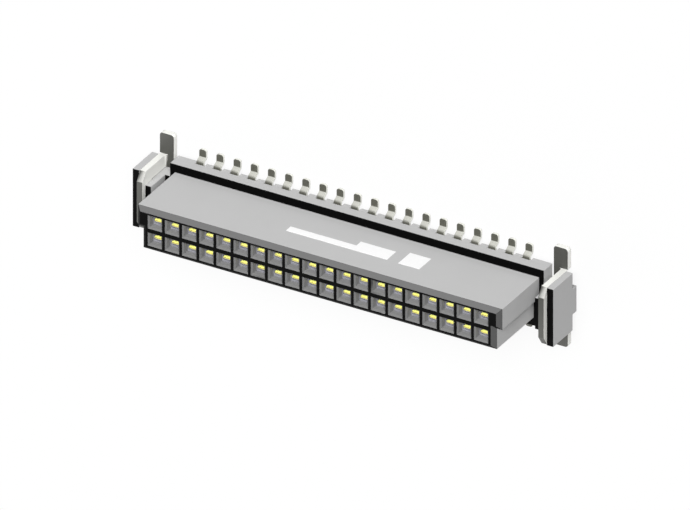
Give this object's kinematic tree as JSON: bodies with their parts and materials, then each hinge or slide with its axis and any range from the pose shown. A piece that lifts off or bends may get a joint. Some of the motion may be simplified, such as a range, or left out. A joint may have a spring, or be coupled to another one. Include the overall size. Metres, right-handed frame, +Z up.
{
  "type": "backplane connector",
  "caption": "Upright surface-mount female connector: a moulded block with rows of funnelled sockets, formed spring contacts with gull-wing feet, and a sheet-metal hold-down clip at each end.",
  "frame": {"origin": "on the board plane, under the middle of the contact field", "axes": "+X along the rows of contacts, +Y across them towards row a, +Z up from the board in the mating direction"},
  "size_m": [0.0312, 0.0072, 0.0063],
  "materials": {
    "moulding": "matt moulded",
    "contact_metal": "gold-coloured at the mating end, tinned at the foot",
    "clip_metal": "tinned sheet"
  },
  "bodies": {
    "root": {"housing": "moulding", "contact_a01": "contact_metal", "contact_a02": "contact_metal", "contact_a03": "contact_metal", "contact_a04": "contact_metal", "contact_a05": "contact_metal", "contact_a06": "contact_metal", "contact_a07": "contact_metal", "contact_a08": "contact_metal", "contact_a09": "contact_metal", "contact_a10": "contact_metal", "contact_a11": "contact_metal", "contact_a12": "contact_metal", "contact_a13": "contact_metal", "contact_a14": "contact_metal", "contact_a15": "contact_metal", "contact_a16": "contact_metal", "contact_a17": "contact_metal", "contact_a18": "contact_metal", "contact_a19": "contact_metal", "contact_a20": "contact_metal", "contact_b01": "contact_metal", "contact_b02": "contact_metal", "contact_b03": "contact_metal", "contact_b04": "contact_metal", "contact_b05": "contact_metal", "contact_b06": "contact_metal", "contact_b07": "contact_metal", "contact_b08": "contact_metal", "contact_b09": "contact_metal", "contact_b10": "contact_metal", "contact_b11": "contact_metal", "contact_b12": "contact_metal", "contact_b13": "contact_metal", "contact_b14": "contact_metal", "contact_b15": "contact_metal", "contact_b16": "contact_metal", "contact_b17": "contact_metal", "contact_b18": "contact_metal", "contact_b19": "contact_metal", "contact_b20": "contact_metal", "hold_down_left": "clip_metal", "hold_down_right": "clip_metal"}
  },
  "joints": []
}
